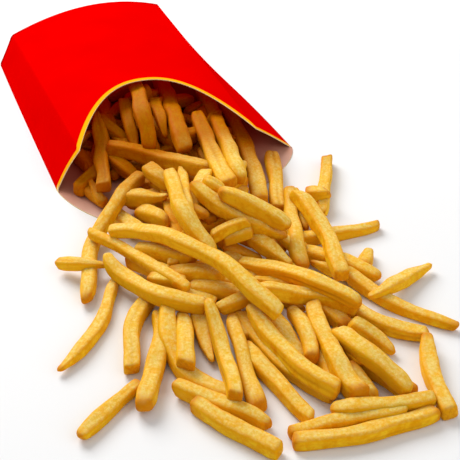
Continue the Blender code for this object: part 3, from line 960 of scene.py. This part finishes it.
# %% Surface of a fry
AROUND = 32
ROW_STEP = 1.5
FULLNESS = {"fries_buried": 1.0, "fries_in_carton": 1.06, "fries_at_mouth": 0.97,
            "fries_spread": 1.0, "fries_on_top": 0.84, "fries_bed": 1.0}
NOSE_ROWS = np.array((0.02, 0.14, 0.4, 0.85, 1.5, 2.4, 3.5))
LONG_ENOUGH = 12.0
FEWEST_ROWS, MOST_ROWS = 8, 64
LINE_EVENINGS = 4
WANDER = ((0.55, 28), (0.3, 26))
SWELL = ((0.065, 20), (0.06, 18))
LUMPS = ((0.035, 14, 2), (0.015, 5, 3))
SQUARE = (3.0, 5.2)
HOLLOW = 0.07
FLATNESS = (0.93, 1.07)
FRY_TWIST = 0.3
CREASE = (-0.05, 0.09)
CREASE_WIDTH = 0.16
CREASE_WAVE = 9
ENDS = {
    "cut": {"share": 0.58, "blunt": 1.4, "power": 3.0, "tip": 0.92, "reach": 5.0},
    "round": {"share": 0.29, "blunt": 3.4, "power": 2.3, "tip": 0.78, "reach": 9.0},
    "taper": {"share": 0.13, "blunt": 2.0, "power": 2.1, "tip": 0.42, "reach": 16.0},
}
END_BROWN = (0.4, 1.6)
END_BROWN_DEPTH = (1.0, 4.0)
SLANT = 0.6
SLANT_REACH = 7.0
shapes = np.random.default_rng(SEED)


def angles_around():
    """Angles around a fry, close together at its four corners: within each
    quarter turn, w from -1 to 1 goes to 45 degrees times |w| ^ 1.6."""
    w = np.arange(AROUND // 4) / (AROUND // 4) * 2 - 1
    quarter = np.sign(w) * np.abs(w) ** 1.6 * math.pi / 4
    return np.concatenate([quarter + math.pi / 4 + k * math.pi / 2 for k in range(4)])


def ripple(s, theta, strength, waves, turns):
    """Lumps: a sum of four sines that run along and around the fry at random."""
    total = 0 * s + 0 * theta
    for _ in range(4):
        wave = shapes.uniform(-1, 1) * waves * 2 * math.pi * s
        around = shapes.integers(0, turns + 1)
        total = total + np.sin(wave + around * theta + shapes.uniform(0, 2 * math.pi))
    return total * strength / 2


def rows_along(length):
    """Places of the rows: close together in both noses, even in between."""
    nose = NOSE_ROWS * min(1, length / LONG_ENOUGH)
    count = int(np.clip((length - 2 * nose[-1]) / ROW_STEP, FEWEST_ROWS, MOST_ROWS))
    return np.concatenate((nose[:-1], np.linspace(nose[-1], length - nose[-1], count),
                           length - nose[:-1][::-1]))


def frames(line, at, run):
    """Middle, side and upward direction of every row."""
    middle = np.stack([np.interp(at, run, line[:, k]) for k in range(3)], 1)
    middle = smoothed(middle, LINE_EVENINGS)
    along = np.gradient(middle, at, axis=0)
    along /= np.linalg.norm(along, axis=1)[:, None]
    side = np.cross((0.0, 0.0, 1.0), along)
    side /= np.linalg.norm(side, axis=1)[:, None]
    return middle, along, side, np.cross(along, side)


def ends_of(at, length, theta):
    """How full each row is, how brown, and how far it leans at a slanted end.

    Near an end the fullness is a quarter of a superellipse, (1 - near^p)^(1/p),
    times a taper that grows smoothly to 1 over its reach."""
    full = np.ones_like(at)
    browning = np.zeros_like(at)
    lean = np.zeros((len(at), len(theta)))
    for distance, sign in ((at, -1), (length - at, 1)):
        end = ENDS[shapes.choice(list(ENDS), p=[end["share"] for end in ENDS.values()])]
        near = np.clip(1 - distance / end["blunt"], 0, 1)
        grow = eased(np.clip(distance / end["reach"], 0, 1))
        full = full * (1 - near ** end["power"]) ** (1 / end["power"])
        full = full * (end["tip"] + (1 - end["tip"]) * grow)
        strength, depth = shapes.uniform(*END_BROWN), shapes.uniform(*END_BROWN_DEPTH)
        browning = browning + strength * np.exp(-distance / depth)
        slant, turn = shapes.uniform(0.0, SLANT), shapes.uniform(0, 2 * math.pi)
        reach = np.clip(1 - distance / SLANT_REACH, 0, 1)[:, None]
        lean = lean + sign * slant * np.cos(theta - turn) * reach
    return full, browning, lean


def fry_skin(line, thick, roll, fullness):
    """Rows of points around a fry, closed by a pole at each end.

    The radius is that of the superellipse |cos|^n + |sin|^n = 1, less a hollow in
    the middle of each face, times the half thickness, the swell both ways, the
    lumps and the fullness, less a crease along one face.
    """
    run = np.concatenate(((0,), np.cumsum(np.linalg.norm(np.diff(line, axis=0), axis=1))))
    length = run[-1]
    at = rows_along(length)
    rows = len(at)
    middle, along, side, up = frames(line, at, run)
    for way, (strength, wave) in zip((side, up), WANDER):
        middle = middle + way * ripple(at / length, 0, strength, length / wave, 0)[:, None]

    theta = angles_around()
    s, around = np.meshgrid(at / length, theta, indexing="ij")
    square = shapes.uniform(*SQUARE)
    radius = (np.abs(np.cos(theta)) ** square + np.abs(np.sin(theta)) ** square) ** (-1 / square)
    corner = (radius - 1) / (radius.max() - 1)
    radius = radius * (1 - shapes.uniform(0.0, HOLLOW) * np.cos(2 * theta) ** 4)
    lumps = 1
    for strength, wave, turns in LUMPS:
        lumps = lumps + ripple(s, around, strength, length / wave, turns)
    radius = radius * lumps
    face = shapes.integers(0, 4) * math.pi / 2 + shapes.uniform(-0.3, 0.3)
    away = np.abs((around - face + math.pi) % (2 * math.pi) - math.pi)
    crease = max(shapes.uniform(*CREASE), 0.0) * np.exp(-(away / CREASE_WIDTH) ** 2)
    crease = crease * (0.6 + 0.4 * np.sin(s * length / CREASE_WAVE + face))
    full, browning, lean = ends_of(at, length, theta)

    flat = shapes.uniform(*FLATNESS)
    half = np.interp(at, run, thick) / 2 * fullness * full
    swell = [1 + ripple(at / length, 0, strength, length / wave, 0) for strength, wave in SWELL]
    turn = roll + shapes.uniform(-FRY_TWIST, FRY_TWIST) * (at / length - 0.5)
    beside = (radius - crease) * np.cos(theta) * (half * flat * swell[0])[:, None]
    above = (radius - crease) * np.sin(theta) * (half / flat * swell[1])[:, None]
    c, w = np.cos(turn)[:, None], np.sin(turn)[:, None]
    places = (middle[:, None] + side[:, None] * (beside * c - above * w)[..., None]
              + up[:, None] * (beside * w + above * c)[..., None]
              + along[:, None] * (lean * half[:, None])[..., None]).reshape(-1, 3)
    poles = np.stack((places[:AROUND].mean(0), places[-AROUND:].mean(0)))
    places = np.concatenate((places, poles))
    places[:, 2] = np.maximum(places[:, 2], surface_height(places[:, 0], places[:, 1]))
    return places, tube_faces(rows, AROUND), end_caps(rows), {
        "grain": np.concatenate((np.stack((s * length, beside, above), -1).reshape(-1, 3),
                                 ((0, 0, 0), (length, 0, 0)))) + shapes.uniform(-500, 500, 3),
        "corner": np.concatenate((np.tile(corner, rows), (0.3, 0.3))),
        "browning": np.concatenate((np.repeat(browning, AROUND), browning[[0, -1]])),
        "tone": np.full(len(places), shapes.uniform(0, 1)),
        "crease": np.concatenate((crease.ravel(), (0.0, 0.0))) * 10,
        # The next two marks drive painted shade: how deep in the heap a place lies, and how far
        # inside the carton.
        "deep": depth_share(places),
        "indoors": np.clip((places[:, 1] - INDOORS_FROM) / (INDOORS_TO - INDOORS_FROM), 0, 1),
    }


def end_caps(rows):
    """Triangles between the first and last row and their poles."""
    j = np.arange(AROUND)
    k = (j + 1) % AROUND
    end = (rows - 1) * AROUND
    return np.concatenate((
        np.stack((k, j, np.full(AROUND, rows * AROUND)), 1),
        np.stack((end + j, end + k, np.full(AROUND, rows * AROUND + 1)), 1),
    ))


# %% [markdown]
# ## The finish of a fry
#
# Fried potato is a thin crisp crust over a soft pale inside. On top, where the oil
# ran off and salt and starch dried, the crust is pale and mottled, and faces that
# turn up are painted paler still, as painted light from above; its sides are deep
# gold, its corners amber and its ends brown, since they are thinnest and fry
# fastest. Long fine streaks run along it, and its crease is painted darker, as
# painted shade. Deep in the heap and inside the carton the crust is painted deeper
# orange and darker, as painted shade. Light goes a little way in, and a film of oil
# gives a faint, broken sheen. The coordinates of every pattern follow the fry, in
# millimetres, so none has a seam.

# %% Material of the fries
MOTTLE = 1.4
STREAK = 1.3
STREAK_LENGTH = 14.0
PATCH = 5.0
GRAIN = 0.55


def fried_potato():
    """Gold sides; pale mottled tops, partly painted light from above; amber corners;
    brown ends; a darker crease, orange depths and darker fries in the carton, all
    painted shade.
    """
    material, tree, shader = new_material("crisp_fried_potato_crust")

    def noted(name, output="Fac"):
        return add(tree, "Attribute", attribute_name=name).outputs[output]

    def noise(place, size, **settings):
        node = add(tree, "TexNoise", {"Vector": place, "Scale": 1 / size, **settings})
        return node.outputs["Fac"]

    def math_of(operation, *values):
        return add(tree, "Math", dict(enumerate(values)), operation=operation).outputs[0]

    def ramp(value, low, high, to_low=0.0, to_high=1.0):
        node = add(tree, "MapRange", {"Value": value, "From Min": low, "From Max": high,
                                      "To Min": to_low, "To Max": to_high},
                   interpolation_type="SMOOTHSTEP")
        return node.outputs["Result"]

    def mix(share, first, second, blend="MIX"):
        node = add(tree, "Mix", {0: share, 6: first, 7: second}, data_type="RGBA",
                   blend_type=blend)
        return node.outputs[2]

    grain = noted("grain", "Vector")
    tone, deep = noted("tone"), noted("deep")
    stretched = add(tree, "Mapping", {"Vector": grain,
                                      "Scale": (STREAK / STREAK_LENGTH, 1.0, 1.0)})
    streak = noise(stretched.outputs["Vector"], STREAK, Detail=3.0, Roughness=0.6)
    mottle = noise(grain, MOTTLE, Detail=4.0, Roughness=0.62)
    patch = noise(grain, PATCH, Detail=2.0)
    fine = noise(grain, GRAIN, Detail=3.0, Roughness=0.6)

    # Gold sides and pale tops, in patches that differ from fry to fry. The pale tops
    # are partly dried starch and partly painted light: faces that turn up are painted
    # paler, as light from above and its sheen would make them, and less so deep in the
    # heap.
    uneven = math_of("MULTIPLY_ADD", mottle, 0.6, math_of("MULTIPLY_ADD", tone, 0.35, patch))
    side = mix(ramp(uneven, 0.75, 1.2), "#E6A008", "#F6C824")
    top = mix(ramp(mottle, 0.3, 0.7), "#DFB03A", "#E8CC78")
    normal = add(tree, "NewGeometry").outputs["Normal"]
    facing = add(tree, "SeparateXYZ", {"Vector": normal}).outputs["Z"]
    starch_and_painted_top_light = math_of("MULTIPLY", ramp(facing, 0.3, 0.95),
                     ramp(math_of("MULTIPLY_ADD", mottle, 0.35, patch), 0.48, 0.75, 0.4))
    starch_and_painted_top_light = math_of("MULTIPLY", starch_and_painted_top_light, math_of("MULTIPLY_ADD", deep, -0.8, 1.0))
    side = mix(ramp(tone, 0.6, 1.0, 0.0, 0.5), side, "#EA9E0C")
    side = mix(ramp(tone, 0.4, 0.0, 0.0, 0.5), side, "#DEB620")
    crust = mix(starch_and_painted_top_light, side, top)
    # Painted shade: the deeper a place lies under the blurred heap and the front panel, the more
    # it is painted deep orange.
    crust = mix(math_of("MULTIPLY", deep, 0.65), crust, "#EA8E08")

    # Streaks, corners, the crease as painted shade, browned ends and fine specks, then
    # the painted shade inside the carton.
    crust = mix(ramp(streak, 0.5, 0.34, 0.0, 0.3), crust, "#DC9614")
    corners = math_of("MULTIPLY", ramp(noted("corner"), 0.35, 0.95),
                      ramp(patch, 0.35, 0.65, 0.1, 0.7))
    crust = mix(corners, crust, "#E49C0C")
    # Painted shade: the crease is painted darker the deeper it runs.
    crust = mix(noted("crease"), crust, "#C0780A")
    burnt = ramp(math_of("MULTIPLY", noted("browning"), mottle), 0.12, 0.5, 0.0, 0.75)
    crust = mix(burnt, crust, "#C8740C")
    crust = mix(ramp(fine, 0.58, 0.74, 0.0, 0.22), crust, "#D08C18")
    # Painted shade: fries inside the carton are painted darker and more amber, as under the front
    # panel.
    crust = mix(noted("indoors"), crust, "#C48E06", "MULTIPLY")

    relief = math_of("ADD", math_of("MULTIPLY_ADD", fine, 0.45, mottle),
                     math_of("MULTIPLY", streak, 0.5))
    bump = add(tree, "Bump", {"Height": relief, "Strength": 0.5, "Distance": 0.0004})
    feed(tree, shader, {"Base Color": crust, "Normal": bump.outputs["Normal"],
                        "Roughness": ramp(fine, 0.3, 0.7, 0.38, 0.62), "IOR": 1.45,
                        "Specular IOR Level": 0.05, "Specular Tint": "#FFB434",
                        "Subsurface Weight": 0.3, "Subsurface Scale": 0.0025,
                        "Subsurface Radius": (1.0, 0.45, 0.1)})
    return material


# %% Fries as joined pieces
def join(skins):
    """Puts fries one after another into one set of places, faces and marks."""
    starts = np.cumsum([0] + [len(skin[0]) for skin in skins[:-1]])
    places = np.concatenate([skin[0] for skin in skins])
    quads = np.concatenate([skin[1] + start for skin, start in zip(skins, starts)])
    caps = np.concatenate([skin[2] + start for skin, start in zip(skins, starts)])
    marks = {name: np.concatenate([skin[3][name] for skin in skins]) for name in skins[0][3]}
    return places, quads, caps, marks


crust = fried_potato()
for name, fries in laid.items():
    places, quads, caps, marks = join([fry_skin(*fry, FULLNESS[name]) for fry in fries])
    mesh = make_mesh(name, places, quads, caps)
    for label, values in marks.items():
        note(mesh, label, values)
    piece(name, mesh, "fries", "fried_potato", crust)
    print(name, len(quads) * 2 + len(caps), "triangles, up to",
          round(places[:, 2].max(), 1), "mm high")

# %% [markdown]
# ## Floor and light
#
# The object lies on a plain pale surface under a large soft light from above and
# behind, so that the tops of the fries are pale and the sides that face the
# camera are deeper in colour. A bright surround keeps the shadows soft.

# %% Floor and light
FLOOR_REACH = 3000.0
LIT_POINT = np.array((0.0, -0.03, 0.0))


def soft_light(name, place, size, power):
    """A square white area light that faces the heap, in metres and watts."""
    lamp = bpy.data.lights.new(name, "AREA")
    lamp.size = size
    lamp.energy = power
    thing = bpy.data.objects.new(name, lamp)
    bpy.context.scene.collection.objects.link(thing)
    away = np.array(place) - LIT_POINT
    thing.location = place
    thing.rotation_euler = (math.acos(away[2] / np.linalg.norm(away)), 0.0,
                            math.atan2(away[1], away[0]) + math.pi / 2)


floor_corners = FLOOR_REACH * np.array(((-1, -1, 0), (1, -1, 0), (1, 1, 0), (-1, 1, 0)))
floor_mesh = make_mesh("floor", floor_corners, np.array(((0, 1, 2, 3),)))
matte, tree, shader = new_material("matte_white_table")
feed(tree, shader, {"Base Color": "#E8E8E8", "Roughness": 0.9})
floor_mesh.materials.append(matte)
floor = bpy.data.objects.new("floor", floor_mesh)
bpy.context.scene.collection.objects.link(floor)

soft_light("key", (-0.2, 0.95, 0.9), 0.9, 21.0)
soft_light("fill", (0.6, -1.1, 0.8), 1.2, 5.0)

sky = bpy.data.worlds.new("studio")
bpy.context.scene.world = sky
sky.use_nodes = True
feed(sky.node_tree, sky.node_tree.nodes["Background"], {"Color": "#FFFFFF", "Strength": 0.5})
